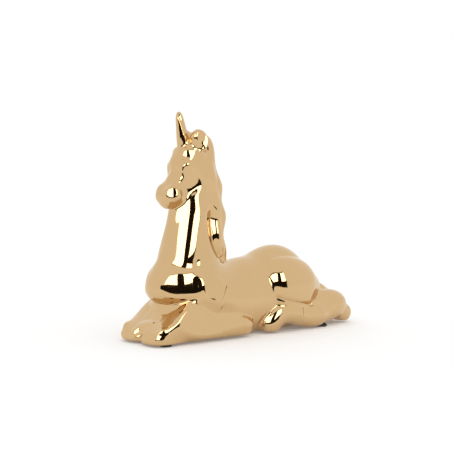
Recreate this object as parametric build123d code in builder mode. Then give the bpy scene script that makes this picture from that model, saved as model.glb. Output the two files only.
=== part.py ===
from build123d import *

import os

# Reclining unicorn ornament: slip-cast pieces luted together, standing on four stick-on pads.
# It faces -Y, its left side is +X, and the pads stand on Z = 0. Lengths are millimetres.

# The four pads under the figure, placed as shares of the spread and length of the leg above.
PAD_DIAMETER = 10.0
PAD_THICKNESS = 2.0
PAD_EDGE = 0.4
FRONT_PAD_SHARES = (0.44, 0.17)
REAR_PAD_SHARES = (0.44, 0.82)

# The casting: its wall, its flat underside and the vent hole through it.
BASE = PAD_THICKNESS
CAST_WALL = 4.5
VENT_DIAMETER = 8.0
VENT_FROM_FRONT = 79.0

# The torso: oval ribs from the chest to the rump.
TORSO_FRONT_Y = -88.0
TORSO_LENGTH = 172.0
TORSO_WIDTH = 68.0
TORSO_HEIGHT = 74.0
TORSO_TIP_HEIGHT_SHARES = (0.50, 0.36)
# Each rib: how far along, its middle's height, half its width, half its height.
TORSO_RIB_SHARES = (
    (0.020, 0.500, 0.20, 0.16),
    (0.070, 0.480, 0.36, 0.36),
    (0.156, 0.460, 0.49, 0.53),
    (0.301, 0.405, 0.49, 0.505),
    (0.441, 0.385, 0.475, 0.485),
    (0.565, 0.395, 0.475, 0.505),
    (0.677, 0.425, 0.49, 0.565),
    (0.790, 0.430, 0.47, 0.565),
    (0.882, 0.405, 0.38, 0.470),
    (0.952, 0.375, 0.25, 0.290),
    (0.986, 0.360, 0.13, 0.145),
)

# The neck: oval rings from inside the chest up to the poll.
NECK_FROM_FRONT = 27.0
NECK_SINK = 42.0
NECK_HEIGHT = 136.0
NECK_WIDTH = 36.0
NECK_DEPTH = 49.0
# Each ring: its height, its setback, half its width, half its depth.
NECK_RING_SHARES = (
    (0.00, -0.02, 0.68, 0.65),
    (0.075, -0.035, 0.84, 0.795),
    (0.155, -0.035, 0.80, 0.76),
    (0.255, 0.00, 0.64, 0.635),
    (0.33, -0.01, 0.595, 0.53),
    (0.412, -0.01, 0.555, 0.455),
    (0.57, 0.01, 0.50, 0.39),
    (0.715, 0.14, 0.42, 0.37),
    (0.865, 0.25, 0.33, 0.27),
    (0.96, 0.31, 0.23, 0.18),
)
NECK_TOP_SHARES = (1.000, 0.320)
# The hollow runs from the second of the rings up to the one under the head.
NECK_HOLLOW_RINGS = (1, 8)

# The head: oval rings from the poll down to the muzzle, square to a tilted axis.
HEAD_FORWARD = 9.5
HEAD_RISE = 4.0
HEAD_LENGTH = 66.0
HEAD_WIDTH = 29.0
HEAD_DEPTH = 36.0
HEAD_TILT = 30.0
HEAD_TIP_SHARES = ((-0.06, -0.11), (1.01, -0.06))
# Each ring: how far down, its front and back edges, half its width, and how full its front and back are.
HEAD_RING_SHARES = (
    (-0.03, 0.050, -0.27, 0.22, 0.78, 0.78),
    (0.05, 0.190, -0.40, 0.38, 0.80, 0.80),
    (0.20, 0.275, -0.58, 0.46, 0.84, 0.86),
    (0.36, 0.285, -0.76, 0.485, 0.88, 0.92),
    (0.50, 0.225, -0.86, 0.480, 0.88, 0.95),
    (0.61, 0.180, -0.88, 0.450, 0.86, 0.95),
    (0.69, 0.180, -0.81, 0.415, 0.84, 0.93),
    (0.77, 0.215, -0.66, 0.395, 0.82, 0.88),
    (0.85, 0.235, -0.45, 0.390, 0.81, 0.80),
    (0.93, 0.175, -0.27, 0.325, 0.78, 0.78),
    (0.985, 0.050, -0.17, 0.18, 0.78, 0.78),
)
# The eyes: round swellings on the cheeks.
EYE_DIAMETER = 13.0
EYE_SPREAD = 17.6
EYE_SHARES = (0.41, 0.02)

# The horn: a smooth round spike, leaning forward.
HORN_LENGTH = 34.0
HORN_ROOT = 6.0
HORN_DIAMETER = 12.0
HORN_FORWARD = 9.5
HORN_SINK = 8.0
HORN_LEAN = 11.0
# The side of the spike: how far up, and its radius as a share of the diameter.
HORN_SIDE_SHARES = ((0.35, 0.44), (0.70, 0.33), (0.92, 0.22), (0.985, 0.11))

# The ears: cupped leaves, open to the front and side.
EAR_LENGTH = 19.0
EAR_WIDTH = 18.0
EAR_THICKNESS = 8.0
EAR_SPREAD = 19.0
EAR_FORWARD = 1.0
EAR_SINK = 9.0
EAR_SPLAY = 6.0
EAR_TURN = 40.0
EAR_CUP_DEPTH = 3.0
EAR_RIM = 2.0
# Each ring: how far up, half its width, half its thickness.
EAR_RING_SHARES = ((0.0, 0.34, 0.40), (0.35, 0.48, 0.50), (0.65, 0.47, 0.45), (0.88, 0.30, 0.30))

# The mane: a crest from behind the poll down to the withers, with locks lying on its sides.
MANE_SETBACK = 4.0
MANE_RISE = 3.0
MANE_FOOT_SETBACK = 36.0
MANE_FOOT_SINK = 14.0
MANE_WIDTH = 20.0
MANE_DEPTH = 20.0
# Each ring: setback, drop, half width, half depth.
MANE_RING_SHARES = (
    (0.00, 0.00, 0.40, 0.30),
    (0.20, 0.04, 0.47, 0.42),
    (0.31, 0.11, 0.50, 0.46),
    (0.37, 0.19, 0.50, 0.43),
    (0.49, 0.30, 0.50, 0.45),
    (0.67, 0.40, 0.50, 0.48),
    (0.67, 0.50, 0.46, 0.45),
    (0.82, 0.61, 0.50, 0.49),
    (0.75, 0.75, 0.46, 0.44),
    (0.89, 0.88, 0.44, 0.44),
    (0.98, 0.98, 0.36, 0.32),
)
# The locks, from the top down. Each ring: out to the side, setback, drop, half width, half depth.
LOCK_WIDTH = 11.0
LOCK_SPREAD = 28.0
LOCK_RING_SHARES = (
    (
        (0.14, 0.15, 0.10, 0.34, 0.38),
        (0.32, 0.22, 0.24, 0.48, 0.52),
        (0.40, 0.30, 0.36, 0.46, 0.50),
        (0.38, 0.42, 0.46, 0.30, 0.34),
    ),
    (
        (0.20, 0.36, 0.33, 0.34, 0.38),
        (0.40, 0.40, 0.47, 0.48, 0.52),
        (0.43, 0.48, 0.59, 0.46, 0.50),
        (0.36, 0.58, 0.69, 0.30, 0.34),
    ),
    (
        (0.24, 0.46, 0.56, 0.34, 0.38),
        (0.44, 0.45, 0.69, 0.48, 0.52),
        (0.50, 0.46, 0.80, 0.46, 0.50),
        (0.46, 0.62, 0.90, 0.30, 0.34),
    ),
)

# The forelegs: a shoulder, a forearm reaching forward to the knee, and a shank folded back to the hoof.
FORELEG_FORWARD = 32.5
FORELEG_LENGTH = 108.0
FORELEG_INSET = 18.0
FORELEG_DROP = 6.0
SHOULDER_WIDTH = 28.0
SHOULDER_DEPTH = 50.0
FOREARM_WIDTH = 28.0
FOREARM_DEPTH = 26.0
SHANK_WIDTH = 25.0
SHANK_DEPTH = 25.0
# Each ring: out to the side, how far back, its height, half its width, half its depth.
SHOULDER_RING_SHARES = (
    (0.35, 0.52, 0.48, 0.28, 0.32),
    (0.43, 0.56, 0.50, 0.45, 0.47),
    (0.45, 0.63, 0.51, 0.48, 0.48),
    (0.41, 0.73, 0.50, 0.35, 0.36),
)
FOREARM_RING_SHARES = (
    (0.28, 0.60, 0.54, 0.50, 0.46),
    (0.27, 0.48, 0.40, 0.53, 0.50),
    (0.27, 0.37, 0.26, 0.53, 0.50),
    (0.28, 0.25, 0.11, 0.53, 0.48),
    (0.29, 0.13, 0.03, 0.53, 0.40),
)
# One side of a forearm's section, which is a box with round corners, from its top down.
FOREARM_FLANK_SHARES = ((0.62, 0.98), (0.91, 0.82), (1.00, 0.38), (1.00, -0.38), (0.91, -0.82), (0.62, -0.98))
SHANK_RING_SHARES = (
    (0.36, 0.26, 0.12, 0.36, 0.36),
    (0.40, 0.36, 0.145, 0.46, 0.46),
    (0.46, 0.50, 0.165, 0.50, 0.50),
    (0.49, 0.66, 0.17, 0.50, 0.50),
    (0.51, 0.82, 0.15, 0.44, 0.46),
    (0.52, 0.94, 0.12, 0.40, 0.38),
)

# The hind legs: a domed haunch, and a shank along the ground from the hock forward to the hoof.
HIND_FORWARD = 84.0
HIND_LENGTH = 92.0
HIND_INSET = 2.0
HAUNCH_WIDTH = 42.0
HAUNCH_HEIGHT = 56.0
CANNON_WIDTH = 24.0
CANNON_HEIGHT = 25.0
HAUNCH_FULLNESS_SHARES = (0.78, 0.84)
HAUNCH_RING_SHARES = (
    (0.29, 0.11, 0.50, 0.27, 0.29),
    (0.29, 0.19, 0.51, 0.40, 0.42),
    (0.29, 0.31, 0.51, 0.48, 0.50),
    (0.29, 0.45, 0.50, 0.49, 0.50),
    (0.27, 0.59, 0.46, 0.45, 0.46),
    (0.24, 0.71, 0.41, 0.36, 0.37),
)
CANNON_RING_SHARES = (
    (0.38, 0.92, 0.14, 0.42, 0.44),
    (0.41, 0.80, 0.14, 0.48, 0.48),
    (0.43, 0.62, 0.14, 0.50, 0.50),
    (0.44, 0.44, 0.18, 0.46, 0.46),
    (0.44, 0.30, 0.21, 0.42, 0.44),
    (0.42, 0.20, 0.17, 0.42, 0.44),
    (0.39, 0.13, 0.08, 0.44, 0.42),
)

# The tail: it falls behind the rump and swings to the left.
TAIL_SINK = 18.0
TAIL_LENGTH = 41.5
TAIL_SWING = 28.0
TAIL_HEIGHT = 48.0
TAIL_THICKNESS = 25.0
TAIL_RING_SHARES = (
    (0.00, 0.05, 0.70, 0.44, 0.44),
    (0.08, 0.42, 0.57, 0.47, 0.47),
    (0.28, 0.76, 0.37, 0.50, 0.50),
    (0.56, 0.95, 0.22, 0.48, 0.47),
    (0.84, 0.99, 0.15, 0.42, 0.40),
)

# A ring's fullness is its width this far out from its middle, where a plain oval's is about 0.78.
FULLNESS_REACH_SHARE = 0.62
OVAL_FULLNESS_SHARES = (0.785, 0.785)
# A limb's round end: how far out along the dome, and how wide it still is.
DOME_SHARES = ((0.50, 0.866), (0.85, 0.527))
LIMB_DOME_SHARE = 0.9
CUT_SPAN = TORSO_LENGTH + NECK_HEIGHT

# Where each piece seats on the one that carries it.
torso_top = BASE + TORSO_HEIGHT
torso_rear_y = TORSO_FRONT_Y + TORSO_LENGTH
neck_foot_y = TORSO_FRONT_Y + NECK_FROM_FRONT
neck_foot_height = torso_top - NECK_SINK
neck_top_y = neck_foot_y + NECK_TOP_SHARES[1] * NECK_DEPTH
head_poll = Vector(0, neck_top_y - HEAD_FORWARD, neck_foot_height + NECK_HEIGHT + HEAD_RISE)
mane_top = Vector(0, head_poll.Y + MANE_SETBACK, head_poll.Z + MANE_RISE)
mane_foot = Vector(0, neck_foot_y + MANE_FOOT_SETBACK, torso_top - MANE_FOOT_SINK)
foreleg_front_y = TORSO_FRONT_Y - FORELEG_FORWARD
foreleg_spread = TORSO_WIDTH - FORELEG_INSET
foreleg_height = TORSO_HEIGHT - FORELEG_DROP
hind_front_y = torso_rear_y - HIND_FORWARD
hind_spread = TORSO_WIDTH - HIND_INSET


def oval(centre, direction, half_width, half_depth):
    """One oval cross-section, square to a direction and level across the figure."""
    direction = Vector(*direction).normalized()
    side = Vector(1, 0, 0)
    across = side - direction * side.dot(direction)
    with BuildSketch(Plane(origin=centre, x_dir=across, z_dir=direction)) as section:
        Ellipse(half_width, half_depth)
    return section.sketch.face()


def egg(centre, direction, half_width, half_depth, upper_full, lower_full):
    """A cross-section like an oval, but fuller or slimmer above and below its middle."""
    direction = Vector(*direction).normalized()
    side = Vector(1, 0, 0)
    across = side - direction * side.dot(direction)
    ring_plane = Plane(origin=centre, x_dir=across, z_dir=direction)
    if ring_plane.y_dir.Z < 0:
        upper_full, lower_full = lower_full, upper_full
    reach = FULLNESS_REACH_SHARE * half_depth
    flank = [(upper_full * half_width, reach), (half_width, 0), (lower_full * half_width, -reach)]
    other_flank = [(-x, y) for x, y in reversed(flank)]
    with BuildSketch(ring_plane) as section:
        with BuildLine():
            Spline((0, half_depth), *flank, (0, -half_depth), *other_flank, periodic=True)
        make_face()
    return section.sketch.face()


def limb_sections(centres, sizes, fullness_shares):
    """Rings along a path of centres, each square to the path, with a domed end before and after."""
    directions = []
    for index in range(len(centres)):
        before = centres[max(index - 1, 0)]
        after = centres[min(index + 1, len(centres) - 1)]
        directions.append((after - before).normalized())
    start_reach = directions[0] * (-LIMB_DOME_SHARE * min(sizes[0]))
    end_reach = directions[-1] * (LIMB_DOME_SHARE * min(sizes[-1]))

    def ring(centre, direction, size, share):
        return egg(centre, direction, size[0] * share, size[1] * share, *fullness_shares)

    start_dome = [Vertex(*(centres[0] + start_reach))]
    end_dome = [Vertex(*(centres[-1] + end_reach))]
    for out, wide in DOME_SHARES:
        start_dome.insert(1, ring(centres[0] + start_reach * out, directions[0], sizes[0], wide))
        end_dome.insert(-1, ring(centres[-1] + end_reach * out, directions[-1], sizes[-1], wide))
    rings = [ring(centre, direction, size, 1) for centre, direction, size in zip(centres, directions, sizes)]
    return start_dome + rings + end_dome


def limb(side, ring_shares, origin_y, spread, length, height, width, depth, fullness_shares):
    """The sections of a limb on one side, whose rings are shares of its spread, length and height."""
    centres = []
    sizes = []
    for out, along, up, half_width, half_depth in ring_shares:
        centres.append(Vector(side * out * spread, origin_y + along * length, BASE + up * height))
        sizes.append((half_width * width, half_depth * depth))
    return limb_sections(centres, sizes, fullness_shares)


def forearm_sections(side):
    """The rounded box sections of one side's forearm, with a domed knee."""
    rings = []
    for out, along, up, half_width, half_depth in FOREARM_RING_SHARES:
        y = foreleg_front_y + along * FORELEG_LENGTH
        place = Vector(side * out * foreleg_spread, y, BASE + up * foreleg_height)
        rings.append((place, half_width * FOREARM_WIDTH, half_depth * FOREARM_DEPTH))
    slope = (rings[-1][0] - rings[0][0]).normalized()
    knee, knee_half_width, knee_half_depth = rings[-1]
    for out, wide in DOME_SHARES:
        rings.append((knee + slope * (out * knee_half_depth), wide * knee_half_width, wide * knee_half_depth))
    sections = []
    for place, half_width, half_depth in rings:
        flank = [(across * half_width, up * half_depth) for across, up in FOREARM_FLANK_SHARES]
        other_flank = [(-across, up) for across, up in reversed(flank)]
        with BuildSketch(Plane(origin=place, x_dir=(1, 0, 0), z_dir=slope)) as section:
            with BuildLine():
                Spline((0, half_depth), *flank, (0, -half_depth), *other_flank, periodic=True)
            make_face()
        sections.append(section.sketch.face())
    return sections + [Vertex(*(knee + slope * knee_half_depth))]


def trim_flat(height):
    """Cut away what lies under a level plane."""
    with Locations((0, 0, height)):
        Box(CUT_SPAN, CUT_SPAN, CUT_SPAN, align=(Align.CENTER, Align.CENTER, Align.MAX), mode=Mode.SUBTRACT)


def trim_side(side):
    """Cut away what lies past the middle plane, on the side given: 1 is the left and -1 the right."""
    with Locations((side * CUT_SPAN / 2, 0, 0)):
        Box(CUT_SPAN, CUT_SPAN, CUT_SPAN, mode=Mode.SUBTRACT)


def torso_place(along_share, height_share):
    """A point on the torso's middle plane."""
    return (0, TORSO_FRONT_Y + along_share * TORSO_LENGTH, BASE + height_share * TORSO_HEIGHT)


def torso_sections(wall):
    """The torso's ribs, drawn in by a wall."""
    front_y = TORSO_FRONT_Y + wall
    back_y = torso_rear_y - wall
    sections = [Vertex(0, front_y, torso_place(0, TORSO_TIP_HEIGHT_SHARES[0])[2])]
    for along, height, width, depth in TORSO_RIB_SHARES:
        half_width = width * TORSO_WIDTH - wall
        half_depth = depth * TORSO_HEIGHT - wall
        place = torso_place(along, height)
        if front_y < place[1] < back_y and half_depth > wall:
            sections.append(oval(place, (0, 1, 0), half_width, half_depth))
    sections.append(Vertex(0, back_y, torso_place(1, TORSO_TIP_HEIGHT_SHARES[1])[2]))
    return sections


def neck_place(height_share, setback_share):
    """A point on the neck's middle line."""
    y = neck_foot_y + setback_share * NECK_DEPTH
    return (0, y, neck_foot_height + height_share * NECK_HEIGHT)


def neck_rings(wall):
    """The neck's rings, drawn in by a wall."""
    rings = []
    for height, setback, width, depth in NECK_RING_SHARES:
        half_width = width * NECK_WIDTH - wall
        half_depth = depth * NECK_DEPTH - wall
        rings.append(oval(neck_place(height, setback), (0, 0, 1), half_width, half_depth))
    return rings


with BuildPart() as torso_form:
    loft(sections=torso_sections(0))
    trim_flat(BASE)

with BuildPart() as torso_hollow:
    loft(sections=torso_sections(CAST_WALL))
    trim_flat(BASE + CAST_WALL)

with BuildPart() as neck_form:
    loft(sections=neck_rings(0) + [Vertex(*neck_place(*NECK_TOP_SHARES))])

with BuildPart() as neck_hollow:
    loft(sections=neck_rings(CAST_WALL)[slice(*NECK_HOLLOW_RINGS)])

head_down = Vector(0, 0, -1).rotate(Axis.X, -HEAD_TILT)
head_front = Vector(0, -1, 0).rotate(Axis.X, -HEAD_TILT)


def head_place(down_share, front_share):
    """A point on the head's middle plane."""
    return head_poll + head_down * (down_share * HEAD_LENGTH) + head_front * (front_share * HEAD_DEPTH)


head_sections = [Vertex(*head_place(*HEAD_TIP_SHARES[0]))]
for down, front_edge, back_edge, half_width, front_full, back_full in HEAD_RING_SHARES:
    ring_centre = head_place(down, (front_edge + back_edge) / 2)
    half_depth = (front_edge - back_edge) / 2 * HEAD_DEPTH
    ring_sizes = (half_width * HEAD_WIDTH, half_depth)
    head_sections.append(egg(ring_centre, head_down, *ring_sizes, front_full, back_full))
head_sections.append(Vertex(*head_place(*HEAD_TIP_SHARES[1])))
eye_centre = head_place(*EYE_SHARES)
with BuildPart() as head:
    loft(sections=head_sections)
    for side in (1, -1):
        eye_place = eye_centre + Vector(side * EYE_SPREAD / 2, 0, 0)
        with Locations(Plane(origin=eye_place, x_dir=head_down, z_dir=head_front)):
            Sphere(EYE_DIAMETER / 2)

with BuildPart() as torso:
    add(torso_form.part)
    add(torso_hollow.part, mode=Mode.SUBTRACT)
    add(neck_hollow.part, mode=Mode.SUBTRACT)
    with Locations((0, TORSO_FRONT_Y + VENT_FROM_FRONT, BASE)):
        Cylinder(VENT_DIAMETER / 2, 2 * CAST_WALL, mode=Mode.SUBTRACT)

with BuildPart() as neck:
    add(neck_form.part)
    for neighbour in (torso_form, head, neck_hollow):
        add(neighbour.part, mode=Mode.SUBTRACT)

# The horn seats on the forehead.
horn_plane = Plane(
    origin=(0, head_poll.Y - HORN_FORWARD, head_poll.Z - HORN_SINK),
    x_dir=(1, 0, 0),
    z_dir=Vector(0, 0, 1).rotate(Axis.X, HORN_LEAN),
)
horn_profile_plane = Plane(origin=horn_plane.origin, x_dir=horn_plane.x_dir, z_dir=-horn_plane.y_dir)
with BuildPart() as horn:
    with BuildSketch(horn_profile_plane):
        with BuildLine():
            horn_radius = HORN_DIAMETER / 2
            side_points = [(horn_radius, 0)]
            for up, radius in HORN_SIDE_SHARES:
                side_points.append((radius * HORN_DIAMETER, up * HORN_LENGTH))
            side_points.append((0, HORN_LENGTH))
            Spline(*side_points, tangents=((0, 1), (-1, 0)))
            Polyline((0, HORN_LENGTH), (0, -HORN_ROOT), (horn_radius, -HORN_ROOT), (horn_radius, 0))
        make_face()
    revolve(axis=Axis(horn_plane.origin, horn_plane.z_dir))
    add(head.part, mode=Mode.SUBTRACT)

# The mane: its crest, and the locks on both sides.
mane_sweep = mane_foot.Y - mane_top.Y
mane_drop = mane_top.Z - mane_foot.Z


def mane_limb(ring_shares, spread, width, depth):
    """The sections of a lock of the mane, whose rings are shares of its spread and of the mane's fall."""
    centres = []
    sizes = []
    for out, setback, drop, half_width, half_depth in ring_shares:
        centres.append(mane_top + Vector(out * spread, setback * mane_sweep, -drop * mane_drop))
        sizes.append((half_width * width, half_depth * depth))
    return limb_sections(centres, sizes, OVAL_FULLNESS_SHARES)


crest_shares = [(0, *ring) for ring in MANE_RING_SHARES]
with BuildPart() as mane:
    loft(sections=mane_limb(crest_shares, 0, MANE_WIDTH, MANE_DEPTH))
    for lock_shares in LOCK_RING_SHARES:
        for side in (1, -1):
            loft(sections=mane_limb(lock_shares, side * LOCK_SPREAD, LOCK_WIDTH, LOCK_WIDTH))
    for neighbour in (torso_form, neck_form, head):
        add(neighbour.part, mode=Mode.SUBTRACT)


# The ears.
def ear_sections(side, shrink, forward):
    """The leaf of one side's ear, drawn in all round and moved towards its open face."""
    ear_up = Vector(0, 0, 1).rotate(Axis.Y, side * EAR_SPLAY)
    ear_across = Vector(1, 0, 0).rotate(Axis.Z, side * EAR_TURN)
    ear_open = Vector(0, -1, 0).rotate(Axis.Z, side * EAR_TURN)
    ear_foot = head_poll + Vector(side * EAR_SPREAD / 2, -EAR_FORWARD, -EAR_SINK) + ear_open * forward
    sections = []
    for up, width, thickness in EAR_RING_SHARES:
        ring_plane = Plane(origin=ear_foot + ear_up * (up * EAR_LENGTH), x_dir=ear_across, z_dir=ear_up)
        with BuildSketch(ring_plane) as ring:
            Ellipse(width * EAR_WIDTH - shrink, thickness * EAR_THICKNESS)
        sections.append(ring.sketch.face())
    sections.append(Vertex(*(ear_foot + ear_up * (EAR_LENGTH - shrink))))
    return sections


def ear(side):
    """The ear of one side: 1 is the left and -1 the right."""
    with BuildPart() as leaf:
        loft(sections=ear_sections(side, 0, 0))
        loft(sections=ear_sections(side, EAR_RIM, EAR_CUP_DEPTH + EAR_RIM), mode=Mode.SUBTRACT)
        for neighbour in (head, mane, horn):
            add(neighbour.part, mode=Mode.SUBTRACT)
    return leaf


ear_left = ear(1)
ear_right = ear(-1)

# The tail.
tail_sizes = (torso_rear_y - TAIL_SINK, TAIL_SWING, TAIL_LENGTH, TAIL_HEIGHT, TAIL_THICKNESS, TAIL_THICKNESS)
with BuildPart() as tail:
    loft(sections=limb(1, TAIL_RING_SHARES, *tail_sizes, OVAL_FULLNESS_SHARES))
    add(torso_form.part, mode=Mode.SUBTRACT)
    trim_flat(BASE)

# The forelegs, which meet each other on the middle plane.
foreleg_sizes = (foreleg_front_y, foreleg_spread, FORELEG_LENGTH, foreleg_height)


def foreleg(side):
    """The foreleg of one side: 1 is the left and -1 the right."""
    shoulder_sizes = (*foreleg_sizes, SHOULDER_WIDTH, SHOULDER_DEPTH)
    shank_sizes = (*foreleg_sizes, SHANK_WIDTH, SHANK_DEPTH)
    with BuildPart() as leg:
        loft(sections=limb(side, SHOULDER_RING_SHARES, *shoulder_sizes, OVAL_FULLNESS_SHARES))
        loft(sections=forearm_sections(side))
        loft(sections=limb(side, SHANK_RING_SHARES, *shank_sizes, OVAL_FULLNESS_SHARES))
        trim_flat(BASE)
        trim_side(-side)
        for neighbour in (torso_form, neck_form):
            add(neighbour.part, mode=Mode.SUBTRACT)
    return leg


foreleg_left = foreleg(1)
foreleg_right = foreleg(-1)

# The hind legs.
hind_sizes = (hind_front_y, hind_spread, HIND_LENGTH, TORSO_HEIGHT)


def hind_leg(side):
    """The hind leg of one side: 1 is the left and -1 the right."""
    haunch_sizes = (*hind_sizes, HAUNCH_WIDTH, HAUNCH_HEIGHT)
    cannon_sizes = (*hind_sizes, CANNON_WIDTH, CANNON_HEIGHT)
    with BuildPart() as leg:
        loft(sections=limb(side, HAUNCH_RING_SHARES, *haunch_sizes, HAUNCH_FULLNESS_SHARES))
        loft(sections=limb(side, CANNON_RING_SHARES, *cannon_sizes, OVAL_FULLNESS_SHARES))
        trim_flat(BASE)
        for neighbour in (torso_form, tail):
            add(neighbour.part, mode=Mode.SUBTRACT)
    return leg


hind_leg_left = hind_leg(1)
hind_leg_right = hind_leg(-1)


def pad(side, shares, spread, front_y, length):
    """A stick-on disc under a leg, with its lower rim eased."""
    place = (side * shares[0] * spread, front_y + shares[1] * length, 0)
    with BuildPart(Plane(origin=place)) as disc:
        Cylinder(PAD_DIAMETER / 2, PAD_THICKNESS, align=(Align.CENTER, Align.CENTER, Align.MIN))
        fillet(disc.edges().group_by(Axis.Z)[0].filter_by(GeomType.CIRCLE), PAD_EDGE)
    return disc


front_left_pad = pad(1, FRONT_PAD_SHARES, foreleg_spread, foreleg_front_y, FORELEG_LENGTH)
front_right_pad = pad(-1, FRONT_PAD_SHARES, foreleg_spread, foreleg_front_y, FORELEG_LENGTH)
rear_left_pad = pad(1, REAR_PAD_SHARES, hind_spread, hind_front_y, HIND_LENGTH)
rear_right_pad = pad(-1, REAR_PAD_SHARES, hind_spread, hind_front_y, HIND_LENGTH)

pieces = {
    "torso": torso,
    "neck": neck,
    "head": head,
    "horn": horn,
    "ear_left": ear_left,
    "ear_right": ear_right,
    "mane": mane,
    "foreleg_left": foreleg_left,
    "foreleg_right": foreleg_right,
    "hind_leg_left": hind_leg_left,
    "hind_leg_right": hind_leg_right,
    "tail": tail,
    "front_left_pad": front_left_pad,
    "front_right_pad": front_right_pad,
    "rear_left_pad": rear_left_pad,
    "rear_right_pad": rear_right_pad,
}
os.makedirs("parts", exist_ok=True)
for name, piece in pieces.items():
    piece.part.label = name
    export_step(piece.part, f"parts/{name}.step")
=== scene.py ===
import math

import bmesh
import bpy
import numpy as np
from mathutils import Matrix, Vector
from mathutils.bvhtree import BVHTree


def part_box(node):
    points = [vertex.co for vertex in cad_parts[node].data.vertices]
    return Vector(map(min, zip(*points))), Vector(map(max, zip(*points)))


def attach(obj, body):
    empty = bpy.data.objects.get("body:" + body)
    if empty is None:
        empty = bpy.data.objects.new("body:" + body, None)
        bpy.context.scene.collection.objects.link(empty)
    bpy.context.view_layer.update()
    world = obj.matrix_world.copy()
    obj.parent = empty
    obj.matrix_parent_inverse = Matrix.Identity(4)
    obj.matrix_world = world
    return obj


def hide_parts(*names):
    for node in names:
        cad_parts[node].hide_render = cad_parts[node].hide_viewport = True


# A reclining unicorn ornament in mirror gold plating over glazed ceramic, on four stick-on pads.
# Lengths are metres, and those of the brush strokes are millimetres.
# The figure faces -Y, its left side is +X, and the pads stand on Z = 0.

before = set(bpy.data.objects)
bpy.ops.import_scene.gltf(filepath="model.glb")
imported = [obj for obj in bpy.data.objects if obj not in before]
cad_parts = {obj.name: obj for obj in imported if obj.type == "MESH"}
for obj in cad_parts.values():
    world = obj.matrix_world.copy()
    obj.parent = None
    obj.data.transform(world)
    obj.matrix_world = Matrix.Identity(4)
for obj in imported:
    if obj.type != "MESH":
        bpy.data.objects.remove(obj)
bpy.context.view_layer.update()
MM = 0.001

# The photograph's camera.
CAMERA_AIM = Vector((0, -17, 96.8)) * MM
CAMERA_AZIMUTH = math.radians(50)
CAMERA_ELEVATION = math.radians(4.5)
CAMERA_DISTANCE = 1.1
CAMERA_LENS = 97.3
SENSOR_WIDTH = 36

# The cast skin: the remeshing step, and how far the creases are softened before and after the strokes.
SKIN_VOXEL = 0.7 * MM
CREASE_SMOOTHING = 20
STROKE_SMOOTHING = 8
CAST_NODES = (
    "torso", "neck", "head", "horn", "ear_left", "ear_right", "mane",
    "foreleg_left", "foreleg_right", "hind_leg_left", "hind_leg_right", "tail",
)
PAD_NODES = ("front_left_pad", "front_right_pad", "rear_left_pad", "rear_right_pad")
SMOOTH_FACTOR = 0.5
MERGE_GAP = 1e-6
SEAM_PASSES = 12
SEAM_DEPTH = 1.5 * MM
VENT_CENTRE = Vector((0, -9, 0)) * MM
VENT_RADIUS = 4.8 * MM
VENT_REACH = 14 * MM


def direction(azimuth, elevation):
    """The way from the figure to a point seen at an azimuth and an elevation."""
    level = math.cos(elevation)
    return Vector((math.sin(azimuth) * level, -math.cos(azimuth) * level, math.sin(elevation)))


def new_object(name, mesh):
    """An object at the origin that shows a mesh."""
    made = bpy.data.objects.new(name, mesh)
    bpy.context.scene.collection.objects.link(made)
    return made


def mesh_of(bm, name):
    """A new mesh out of a bmesh, which is freed."""
    mesh = bpy.data.meshes.new(name)
    bm.to_mesh(mesh)
    bm.free()
    return mesh


def applied(made):
    """The object's mesh with its modifiers worked in, in place of the old one."""
    graph = bpy.context.evaluated_depsgraph_get()
    graph.update()
    mesh = bpy.data.meshes.new_from_object(made.evaluated_get(graph))
    made.modifiers.clear()
    old = made.data
    made.data = mesh
    bpy.data.meshes.remove(old)
    return made


def softened(made, passes):
    """The object with its creases rubbed down."""
    smooth = made.modifiers.new("smooth", "SMOOTH")
    smooth.factor = SMOOTH_FACTOR
    smooth.iterations = passes
    return applied(made)


# Slip that fills the joints between the cast pieces, in millimetres and degrees:
# middle, half sizes and tilt about X. In turn they lie between the forearms, under the chest,
# between the knees, in the two ears, and between the left hock and the tail.
SLIP_FILLS = (
    ((0, -84, 20.5), (24, 34, 10), 36.6),
    ((0, -80, 32), (25, 15, 9), 36.6),
    ((0, -97, 11), (22, 15, 9), 0),
    ((9.8, -57, 176.5), (5, 7.5, 8), 0),
    ((-9.8, -57, 176.5), (5, 7.5, 8), 0),
    ((24, 86, 18.5), (14, 24, 15.5), 0),
)
FILL_SUBDIVISIONS = 4


def add_fill(bm, centre, radii, tilt):
    """A rounded lump of slip, laid into a joint."""
    lump = bmesh.ops.create_icosphere(bm, subdivisions=FILL_SUBDIVISIONS, radius=MM)["verts"]
    bmesh.ops.scale(bm, verts=lump, vec=radii)
    turned = Matrix.Rotation(math.radians(tilt), 3, "X")
    bmesh.ops.rotate(bm, verts=lump, cent=(0, 0, 0), matrix=turned)
    bmesh.ops.translate(bm, verts=lump, vec=Vector(centre) * MM)


def joined_castings():
    """One rough object out of merged copies of the cast nodes."""
    bm = bmesh.new()
    for name in CAST_NODES:
        bm.from_mesh(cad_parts[name].data)
    bmesh.ops.remove_doubles(bm, verts=bm.verts, dist=MERGE_GAP)
    for centre, radii, tilt in SLIP_FILLS:
        add_fill(bm, centre, radii, tilt)
    return new_object("casting", mesh_of(bm, "casting"))


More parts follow.
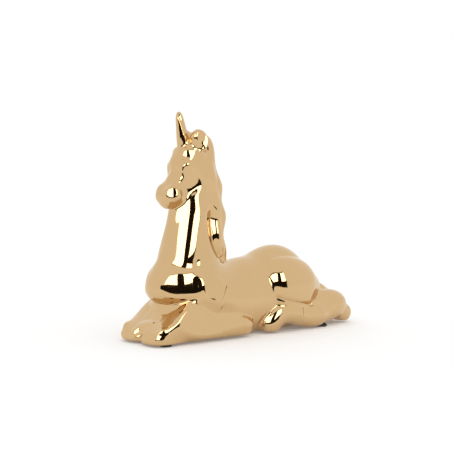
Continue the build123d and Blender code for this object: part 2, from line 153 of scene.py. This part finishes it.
def outer_skin(made):
    """The object without the walls of its hollow, cut loose at the vent."""
    bm = bmesh.new()
    bm.from_mesh(made.data)
    throat = []
    for face in bm.faces:
        middle = face.calc_center_median() - VENT_CENTRE
        if middle.xy.length < VENT_RADIUS and middle.z < VENT_REACH:
            throat.append(face)
    bmesh.ops.delete(bm, geom=throat, context="FACES")
    start = max(bm.verts, key=lambda vert: vert.co.z)
    kept = {start}
    front = [start]
    while front:
        vert = front.pop()
        for edge in vert.link_edges:
            other = edge.other_vert(vert)
            if other not in kept:
                kept.add(other)
                front.append(other)
    bmesh.ops.delete(bm, geom=[vert for vert in bm.verts if vert not in kept], context="VERTS")
    old = made.data
    made.data = mesh_of(bm, "casting")
    bpy.data.meshes.remove(old)
    return made


casting = joined_castings()
remesh = casting.modifiers.new("remesh", "REMESH")
remesh.mode = "VOXEL"
remesh.voxel_size = SKIN_VOXEL
applied(casting)
outer_skin(casting)
softened(casting, CREASE_SMOOTHING)


def values_of(items, key, width):
    """A value of all the items of a mesh as rows of numbers."""
    flat = np.zeros(len(items) * width, dtype=np.float32)
    items.foreach_get(key, flat)
    return flat.reshape(-1, width).astype(float)


def edges_of(mesh):
    """The two points of each edge of a mesh."""
    ends = np.zeros(len(mesh.edges) * 2, dtype=np.int32)
    mesh.edges.foreach_get("vertices", ends)
    return ends.reshape(-1, 2)


def links_of(edges):
    """Each link from a point to a neighbour, both ways, and the number of links of each point."""
    here = np.concatenate((edges[:, 0], edges[:, 1]))
    there = np.concatenate((edges[:, 1], edges[:, 0]))
    return here, there, np.bincount(here)


def eased(rest):
    """A share from 0 to 1 that starts and ends softly."""
    return rest * rest * (3 - 2 * rest)


# How far a point has to face the way of a stroke, and how much of a rub is at full strength.
FACING_START = 0.25
FACING_SPAN = 0.45
RUB_PLATEAU = 0.5

# The strokes of the left side in their order, in millimetres and degrees. A form has its centre, its
# reach across, up and out, its facing, its rounding across and up, its plateau and its turn. A rub has
# its centre, reach and passes, and a groove its path, width and depth.
STROKES = (
    ("shoulder", "form", (32.3, -62.7, 47), (24, 24, 10), (88, 5), (120, 120), 0.1, 0),
    ("outside of the foreleg", "form", (31.6, -72, 20), (48, 20, 10), (89, 9), (400, 200), 0.5, 0),
    ("foot of the neck", "groove", ((9, -85, 69), (18.3, -79.5, 68), (23, -70, 68)), 8, 0.7),
    ("chest", "form", (21.8, -88.2, 50.5), (23, 19, 10), (58, 9), (33, 62), 0.4, 0),
    (
        "front of the neck", "form",
        (15.9, -73.3, 94.6), (19, 38, 10), (57.5, 12.5), (22.5, -900), 0.5, 8.6,
    ),
    ("cheek", "form", (12, -70, 141), (16, 18, 8), (80, -8), (70, 70), 0.3, 0),
    ("cheek", "rub", (12, -70, 141), 14, 30),
    ("bridge of the nose", "form", (6, -78.5, 143), (8, 12, 6), (35, 29), (10, 60), 0.3, 0),
    ("muzzle", "form", (11.4, -85.4, 130.2), (14, 13, 10), (57, 14), (17.8, 43), 0.45, 0),
    ("forehead", "form", (9.6, -69, 164.1), (7, 7, 6), (57, 14), (12.7, 33), 0.3, 0),
    ("ear", "form", (14, -57, 177), (11, 12, 9), (88, 0), (60, 60), 0.5, 0),
    ("ear", "rub", (12, -57, 177), 12, 40),
    ("upper lock", "form", (14.3, -47.2, 147.3), (11, 16, 9), (92, 12), (30, 100), 0.3, 0),
    ("middle lock", "form", (15, -44.5, 121.9), (11, 16, 9), (92, 12), (30, 100), 0.3, 0),
    ("upper lock", "rub", (14, -46, 148), 20, 60),
    ("middle lock", "rub", (15, -44, 122), 20, 60),
    ("lower lock", "rub", (15, -42, 98), 20, 60),
    ("outside of the knee", "form", (27.4, -110.2, 13.5), (9, 8, 7), (57, 14), (14, 20), 0.3, 0),
    ("inside of the knee", "form", (5.2, -113, 12), (9, 7, 7), (-57, 14), (14, 20), 0.3, 0),
    (
        "front of the thigh", "groove",
        ((33.8, 15.8, 32.1), (38, 26.7, 28.4), (38, 39, 25.5), (34.8, 56.1, 22.6)), 2.6, 1.2,
    ),
    (
        "behind the elbow", "groove",
        ((31.1, -40.2, 47.4), (34, -45.6, 40.2), (35.7, -51.4, 33.1), (35.3, -53.9, 28.5)), 2.6, 0.9,
    ),
)
TAIL_RUB = ((24, 86, 18), 30, 90)

# The horn's root, its rake to the front, and the part of it that leans.
HORN_ROOT = (0, -72.5, 163)
HORN_RAKE = 0.28
HORN_START = 6
HORN_HALF = 9
HORN_LEAN = math.tan(math.radians(3))


class Skin:
    """The points of the cast skin in millimetres, for the modelling strokes."""

    def __init__(self, made):
        self.made = made
        self.points = values_of(made.data.vertices, "co", 3) / MM
        self.normals = values_of(made.data.vertex_normals, "vector", 3)
        self.edges = edges_of(made.data)

    def weight(self, centre, reach, plateau):
        """How strongly a stroke acts on each point: 1 in the middle, 0 from the reach on."""
        away = np.linalg.norm((self.points - centre) / reach, axis=1)
        return eased(np.clip((1 - away) / (1 - plateau), 0, 1))

    def patch(self, centre, reach, facing, plateau, turn):
        """Where the points lie across, up and out of a facing, and how strongly a stroke acts."""
        azimuth, elevation, turn = (math.radians(angle) for angle in (*facing, turn))
        out = np.array(direction(azimuth, elevation))
        level = np.array((math.cos(azimuth), math.sin(azimuth), 0))
        upright = np.cross(out, level)
        across = level * math.cos(turn) - upright * math.sin(turn)
        up = upright * math.cos(turn) + level * math.sin(turn)
        away = self.points - centre
        places = np.stack((away @ across, away @ up, away @ out), axis=1)
        rest = np.clip((1 - np.linalg.norm(places / reach, axis=1)) / (1 - plateau), 0, 1)
        agree = np.clip((self.normals @ out - FACING_START) / FACING_SPAN, 0, 1)
        return places, out, eased(rest) * agree

    def form(self, centre, reach, facing, rounding, plateau, turn):
        """Mould a patch towards a face with its own rounding across and up."""
        places, out, weight = self.patch(centre, np.array(reach), facing, plateau, turn)
        wanted = -places[:, 0] ** 2 / (2 * rounding[0]) - places[:, 1] ** 2 / (2 * rounding[1])
        self.points += ((wanted - places[:, 2]) * weight)[:, None] * out

    def rub(self, centre, reach, passes):
        """Rub a patch smooth."""
        weight = self.weight(centre, reach, RUB_PLATEAU)
        near = (weight[self.edges] > 0).any(axis=1)
        used, flat = np.unique(self.edges[near].ravel(), return_inverse=True)
        here, there, degree = links_of(flat.reshape(-1, 2))
        strong = SMOOTH_FACTOR * weight[used][:, None]
        points = self.points[used]
        for _ in range(passes):
            sums = [np.bincount(here, weights=points[there, axis]) for axis in range(3)]
            points += (np.stack(sums, axis=1) / degree[:, None] - points) * strong
        self.points[used] = points

    def groove(self, path, width, depth):
        """Press a line into the skin."""
        nearest = np.full(len(self.points), np.inf)
        for start, end in zip(path[:-1], path[1:]):
            run = end - start
            share = np.clip((self.points - start) @ run / (run @ run), 0, 1)
            gap = np.linalg.norm(self.points - start - share[:, None] * run, axis=1)
            nearest = np.minimum(nearest, gap)
        rest = np.clip(1 - (nearest / width) ** 2, 0, 1)
        self.points -= self.normals * (depth * rest * rest)[:, None]

    def keep(self):
        """Put the points back into the object."""
        self.made.data.vertices.foreach_set("co", (self.points * MM).astype(np.float32).ravel())
        self.made.data.update()


skin = Skin(casting)


def lean_horn():
    """Lean the horn a little to the figure's front left."""
    above = skin.points[:, 2] - HORN_ROOT[2]
    beside = np.abs(skin.points[:, 1] - HORN_ROOT[1] + HORN_RAKE * above)
    horn = (above > HORN_START) & (beside < HORN_HALF) & (np.abs(skin.points[:, 0]) < HORN_HALF)
    lean = np.where(horn, np.maximum(above - HORN_START, 0) * HORN_LEAN, 0)
    skin.points += lean[:, None] * np.array(direction(CAMERA_AZIMUTH, 0))


def side_strokes(side):
    """The modelling strokes of one side: 1 for the figure's left, -1 for its right."""
    mirror = np.array((side, 1, 1))
    for _, tool, place, *values in STROKES:
        if tool == "form":
            reach, (azimuth, elevation), rounding, plateau, turn = values
            skin.form(place * mirror, reach, (side * azimuth, elevation), rounding, plateau, side * turn)
        elif tool == "rub":
            skin.rub(place * mirror, *values)
        else:
            skin.groove(place * mirror, *values)


side_strokes(1)
side_strokes(-1)
lowest = min(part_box(name)[0][2] for name in CAST_NODES) / MM
skin.points[:, 2] = np.maximum(skin.points[:, 2], lowest)
skin.rub(*TAIL_RUB)
lean_horn()
skin.keep()
softened(casting, STROKE_SMOOTHING)


def labels_of(made):
    """The cast node that each point of the skin belongs to, evened out along the seams."""
    corners, triangles, owners = [], [], []
    for number, name in enumerate(CAST_NODES):
        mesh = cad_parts[name].data
        first = len(corners)
        corners.extend(vert.co.copy() for vert in mesh.vertices)
        triangles.extend([first + corner for corner in face.vertices] for face in mesh.polygons)
        owners.extend([number] * len(mesh.polygons))
    tree = BVHTree.FromPolygons(corners, triangles)
    mesh = made.data
    nearest = [owners[tree.find_nearest(vert.co)[2]] for vert in mesh.vertices]
    shares = np.eye(len(CAST_NODES))[nearest]
    here, there, degree = links_of(edges_of(mesh))
    for _ in range(SEAM_PASSES):
        sums = [np.bincount(here, weights=column) for column in shares[there].T]
        shares = (1 - SMOOTH_FACTOR) * shares + SMOOTH_FACTOR * np.stack(sums, axis=1) / degree[:, None]
    return shares.argmax(axis=1)


LEAST_RUN = 1e-12


def curvature_of(made):
    """How hollow the skin is at each point: over 0 in a crease, below 0 on a rounded edge."""
    points = values_of(made.data.vertices, "co", 3)
    normals = values_of(made.data.vertex_normals, "vector", 3)
    here, there, degree = links_of(edges_of(made.data))
    run = points[there] - points[here]
    rise = (run * normals[here]).sum(axis=1) / np.maximum((run * run).sum(axis=1), LEAST_RUN)
    hollow = np.bincount(here, weights=rise) / degree
    for _ in range(SEAM_PASSES):
        around = np.bincount(here, weights=hollow[there]) / degree
        hollow = (1 - SMOOTH_FACTOR) * hollow + SMOOTH_FACTOR * around
    return hollow * MM


labels = labels_of(casting)
# The hollowness sets where the gold gets its painted crease shade.
hollow = casting.data.attributes.new("hollow", "FLOAT", "POINT")
hollow.data.foreach_set("value", curvature_of(casting).astype(np.float32))
facing = values_of(casting.data.vertex_normals, "vector", 3)
skin_normal = casting.data.attributes.new("skin_normal", "FLOAT_VECTOR", "POINT")
skin_normal.data.foreach_set("vector", facing.astype(np.float32).ravel())


# The finishes: two colours, the range of roughness, and the scales of the broad and the fine patches.
GOLD_TONES = ((0.62, 0.42, 0.21), (0.67, 0.465, 0.245))
GOLD_ROUGHNESS = (0.035, 0.075)
GOLD_SCALES = (28, 260)
PAD_TONES = ((0.016, 0.016, 0.017), (0.035, 0.034, 0.033))
PAD_ROUGHNESS = (0.5, 0.75)
PAD_SCALES = (150, 2500)
FINE_SHARE = 0.35
PATCH_RANGE = (0.3, 0.7)

# Painted shade in the creases of the gold: its colour, the hollowness at which it starts and ends, and
# its most.
GOLD_CREASE_SHADE = (0.5, 0.3, 0.12)
CREASE_SHADE_RANGE = (0.05, 0.25)
CREASE_SHADE_SHARE = 0.6


def variation_group():
    """A node group: two sizes of soft patches over a surface."""
    group = bpy.data.node_groups.new("kiln_variation", "ShaderNodeTree")
    for name in ("Broad Scale", "Fine Scale", "Fine Share"):
        group.interface.new_socket(name, in_out="INPUT", socket_type="NodeSocketFloat")
    group.interface.new_socket("Patches", in_out="OUTPUT", socket_type="NodeSocketFloat")
    nodes, links = group.nodes, group.links
    given = nodes.new("NodeGroupInput")
    place = nodes.new("ShaderNodeTexCoord")
    broad = nodes.new("ShaderNodeTexNoise")
    fine = nodes.new("ShaderNodeTexNoise")
    mixed = nodes.new("ShaderNodeMix")
    out = nodes.new("NodeGroupOutput")
    for noise, scale in ((broad, "Broad Scale"), (fine, "Fine Scale")):
        links.new(place.outputs["Object"], noise.inputs["Vector"])
        links.new(given.outputs[scale], noise.inputs["Scale"])
    links.new(given.outputs["Fine Share"], mixed.inputs["Factor"])
    links.new(broad.outputs["Fac"], mixed.inputs["A"])
    links.new(fine.outputs["Fac"], mixed.inputs["B"])
    links.new(mixed.outputs["Result"], out.inputs["Patches"])
    return group


kiln_variation = variation_group()


def varied_material(name, colours, rough, scales, metallic=0.0):
    """A material whose colour and gloss drift between two values over its surface."""
    material = bpy.data.materials.new(name)
    material.use_nodes = True
    nodes, links = material.node_tree.nodes, material.node_tree.links
    shader = nodes["Principled BSDF"]
    shader.inputs["Metallic"].default_value = metallic
    patches = nodes.new("ShaderNodeGroup")
    patches.node_tree = kiln_variation
    patches.inputs["Broad Scale"].default_value = scales[0]
    patches.inputs["Fine Scale"].default_value = scales[1]
    patches.inputs["Fine Share"].default_value = FINE_SHARE
    tone = nodes.new("ShaderNodeMix")
    tone.data_type = "RGBA"
    tone.inputs["A"].default_value = (*colours[0], 1)
    tone.inputs["B"].default_value = (*colours[1], 1)
    links.new(patches.outputs["Patches"], tone.inputs["Factor"])
    gloss = nodes.new("ShaderNodeMapRange")
    gloss.inputs["From Min"].default_value = PATCH_RANGE[0]
    gloss.inputs["From Max"].default_value = PATCH_RANGE[1]
    gloss.inputs["To Min"].default_value = rough[0]
    gloss.inputs["To Max"].default_value = rough[1]
    links.new(patches.outputs["Patches"], gloss.inputs["Value"])
    links.new(gloss.outputs["Result"], shader.inputs["Roughness"])
    links.new(tone.outputs["Result"], shader.inputs["Base Color"])
    return material


def gold_material():
    """Mirror gold plating, with painted shade that darkens its colour in the creases."""
    material = varied_material("gold_plating", GOLD_TONES, GOLD_ROUGHNESS, GOLD_SCALES, 1.0)
    nodes, links = material.node_tree.nodes, material.node_tree.links
    shader = nodes["Principled BSDF"]
    tone = shader.inputs["Base Color"].links[0].from_socket
    # Painted shade: the colour darkens towards a deeper gold where the skin is hollow, in the creases.
    crease = nodes.new("ShaderNodeAttribute")
    crease.attribute_name = "hollow"
    crease_shade = nodes.new("ShaderNodeMapRange")
    crease_shade.inputs["From Min"].default_value = CREASE_SHADE_RANGE[0]
    crease_shade.inputs["From Max"].default_value = CREASE_SHADE_RANGE[1]
    crease_shade.inputs["To Max"].default_value = CREASE_SHADE_SHARE
    crease_shaded = nodes.new("ShaderNodeMix")
    crease_shaded.data_type = "RGBA"
    crease_shaded.inputs["B"].default_value = (*GOLD_CREASE_SHADE, 1)
    links.new(crease.outputs["Fac"], crease_shade.inputs["Value"])
    links.new(crease_shade.outputs["Result"], crease_shaded.inputs["Factor"])
    links.new(tone, crease_shaded.inputs["A"])
    links.new(crease_shaded.outputs["Result"], shader.inputs["Base Color"])
    return material


gold_plating = gold_material()
pad_rubber = varied_material("pad_rubber", PAD_TONES, PAD_ROUGHNESS, PAD_SCALES)

casting.data.materials.clear()
for name in CAST_NODES:
    casting.data.materials.append(bpy.data.materials.new("split_" + name))
face_corners = np.zeros(len(casting.data.polygons), dtype=np.int32)
casting.data.polygons.foreach_get("loop_start", face_corners)
corner_points = np.zeros(len(casting.data.loops), dtype=np.int32)
casting.data.loops.foreach_get("vertex_index", corner_points)
face_labels = labels[corner_points[face_corners]].astype(np.int32)
casting.data.polygons.foreach_set("material_index", face_labels)
casting.data.update()


def cast_piece(number, name):
    """The part of the skin that stands for a cast node, closed inwards along its seams."""
    bm = bmesh.new()
    bm.from_mesh(casting.data)
    others = [face for face in bm.faces if face.material_index != number]
    bmesh.ops.delete(bm, geom=others, context="FACES")
    layer = bm.verts.layers.float_vector["skin_normal"]
    rim = [edge for edge in bm.edges if edge.is_boundary]
    turned = bmesh.ops.extrude_edge_only(bm, edges=rim)["geom"]
    sunk = [item for item in turned if isinstance(item, bmesh.types.BMVert)]
    for vert in sunk:
        vert.co -= vert[layer] * SEAM_DEPTH
    inner = [item for item in turned if isinstance(item, bmesh.types.BMEdge) and item.is_boundary]
    bmesh.ops.holes_fill(bm, edges=inner, sides=0)
    for face in bm.faces:
        face.smooth = True
        face.material_index = 0
    piece = new_object(name + "_skin", mesh_of(bm, name + "_skin"))
    mesh = piece.data
    mesh.materials.clear()
    mesh.materials.append(gold_plating)
    kept = values_of(mesh.attributes["skin_normal"].data, "vector", 3)
    mesh.normals_split_custom_set_from_vertices(kept.tolist())
    mesh.attributes.remove(mesh.attributes["skin_normal"])
    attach(piece, "root")
    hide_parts(name)
    return piece


cast_pieces = [cast_piece(number, name) for number, name in enumerate(CAST_NODES)]
bpy.data.objects.remove(casting)

PAD_BEVEL = 0.5 * MM
PAD_INSET = 0.9 * MM
PAD_SEGMENTS = 48
PAD_EDGE_STEPS = 3
FOOT_FACING = -0.9
SHARP_ANGLE = 1


def pad_piece(name):
    """A stick-on disc with a rounded edge and a shallow step under it."""
    low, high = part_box(name)
    low, high = Vector(low), Vector(high)
    radius = (high.x - low.x) / 2
    bm = bmesh.new()
    bmesh.ops.create_cone(
        bm, cap_ends=True, segments=PAD_SEGMENTS, radius1=radius, radius2=radius, depth=high.z - low.z,
    )
    bmesh.ops.translate(bm, verts=bm.verts, vec=(low + high) / 2)
    foot = [face for face in bm.faces if face.normal.z < FOOT_FACING]
    bmesh.ops.inset_region(bm, faces=foot, thickness=PAD_INSET, depth=0)
    bmesh.ops.inset_region(bm, faces=foot, thickness=PAD_BEVEL, depth=-PAD_BEVEL / 2)
    joined = [edge for edge in bm.edges if len(edge.link_faces) == 2]
    sharp = [edge for edge in joined if edge.calc_face_angle() > SHARP_ANGLE]
    bmesh.ops.bevel(
        bm, geom=sharp, offset=PAD_BEVEL / 2, segments=PAD_EDGE_STEPS, profile=0.5, affect="EDGES",
        material=-1,
    )
    bmesh.ops.recalc_face_normals(bm, faces=bm.faces)
    for face in bm.faces:
        face.smooth = True
    piece = new_object(name + "_disc", mesh_of(bm, name + "_disc"))
    piece.data.materials.append(pad_rubber)
    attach(piece, "root")
    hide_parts(name)
    return piece


pad_pieces = [pad_piece(name) for name in PAD_NODES]

# The stage: a pale floor, a white tent, and the panels that the gold mirrors.
FLOOR_SIZE = 6
FLOOR_SHADE = (0.9, 0.9, 0.9, 1)
FLOOR_LIFT = 0.13
PANEL_TINT = (1, 0.97, 0.94)
PANEL_STRENGTH = 4.2
CLOTH_TINT = (0.012, 0.01, 0.008)
STUDIO_RADIUS = 0.9
SCREEN_STEPS = (24, 12)
STUDIO_CENTRE = Vector((0, 0, 90)) * MM


def floor_material():
    """A pale floor that shows white to the lens and to the metal, and keeps the shadow."""
    material = bpy.data.materials.new("floor")
    material.use_nodes = True
    nodes, links = material.node_tree.nodes, material.node_tree.links
    shader = nodes["Principled BSDF"]
    shader.inputs["Base Color"].default_value = FLOOR_SHADE
    shader.inputs["Roughness"].default_value = 1
    shader.inputs["Specular IOR Level"].default_value = 0
    shader.inputs["Emission Color"].default_value = (1, 1, 1, 1)
    path = nodes.new("ShaderNodeLightPath")
    seen = nodes.new("ShaderNodeMath")
    seen.operation = "MAXIMUM"
    lift = nodes.new("ShaderNodeMath")
    lift.operation = "MULTIPLY"
    lift.inputs[1].default_value = FLOOR_LIFT
    links.new(path.outputs["Is Camera Ray"], seen.inputs[0])
    links.new(path.outputs["Is Glossy Ray"], seen.inputs[1])
    links.new(seen.outputs["Value"], lift.inputs[0])
    links.new(lift.outputs["Value"], shader.inputs["Emission Strength"])
    return material


bm = bmesh.new()
bmesh.ops.create_grid(bm, x_segments=1, y_segments=1, size=FLOOR_SIZE)
floor = new_object("floor", mesh_of(bm, "floor"))
floor.data.materials.append(floor_material())


def glow_material(name, colour, strength):
    """A surface that only shines."""
    material = bpy.data.materials.new(name)
    material.use_nodes = True
    nodes = material.node_tree.nodes
    nodes.clear()
    glow = nodes.new("ShaderNodeEmission")
    glow.inputs["Color"].default_value = (*colour, 1)
    glow.inputs["Strength"].default_value = strength
    out = nodes.new("ShaderNodeOutputMaterial")
    material.node_tree.links.new(glow.outputs["Emission"], out.inputs["Surface"])
    return material


def studio_screen(name, azimuths, elevations, material):
    """A curved screen round the figure that only shows in reflections."""
    bm = bmesh.new()
    bmesh.ops.create_grid(bm, x_segments=SCREEN_STEPS[0], y_segments=SCREEN_STEPS[1], size=0.5)
    for vert in bm.verts:
        azimuth = azimuths[0] + (vert.co.x + 0.5) * (azimuths[1] - azimuths[0])
        elevation = elevations[0] + (vert.co.y + 0.5) * (elevations[1] - elevations[0])
        way = direction(CAMERA_AZIMUTH + math.radians(azimuth), math.radians(elevation))
        vert.co = STUDIO_CENTRE + way * STUDIO_RADIUS
    screen = new_object(name, mesh_of(bm, name))
    screen.data.materials.append(material)
    screen.visible_camera = False
    screen.visible_diffuse = False
    screen.visible_shadow = False
    screen.visible_transmission = False
    return screen


white_panel = glow_material("white_panel", PANEL_TINT, PANEL_STRENGTH)
black_cloth = glow_material("black_cloth", CLOTH_TINT, 1)

# Each screen's azimuths from the camera's and elevations, in degrees.
studio_screen("left_panel", (-30, 6), (9, 39), white_panel)
studio_screen("right_panel", (28, 50), (9, 39), white_panel)
studio_screen("slit", (6, 28), (9, 42), black_cloth)
studio_screen("top_bar", (-31, 51), (39, 43), black_cloth)
studio_screen("low_bar", (-50, 55), (-6, 9), black_cloth)

world = bpy.data.worlds.new("tent")
bpy.context.scene.world = world
world.use_nodes = True
world.node_tree.nodes["Background"].inputs["Color"].default_value = (1, 1, 1, 1)
world.node_tree.nodes["Background"].inputs["Strength"].default_value = 1

camera_data = bpy.data.cameras.new("camera")
camera_data.lens = CAMERA_LENS
camera_data.sensor_width = SENSOR_WIDTH
camera = bpy.data.objects.new("camera", camera_data)
bpy.context.scene.collection.objects.link(camera)
camera_back = direction(CAMERA_AZIMUTH, CAMERA_ELEVATION)
camera.location = CAMERA_AIM + camera_back * CAMERA_DISTANCE
camera.rotation_euler = camera_back.to_track_quat("Z", "Y").to_euler()
bpy.context.scene.camera = camera
bpy.context.scene.view_settings.view_transform = "Standard"
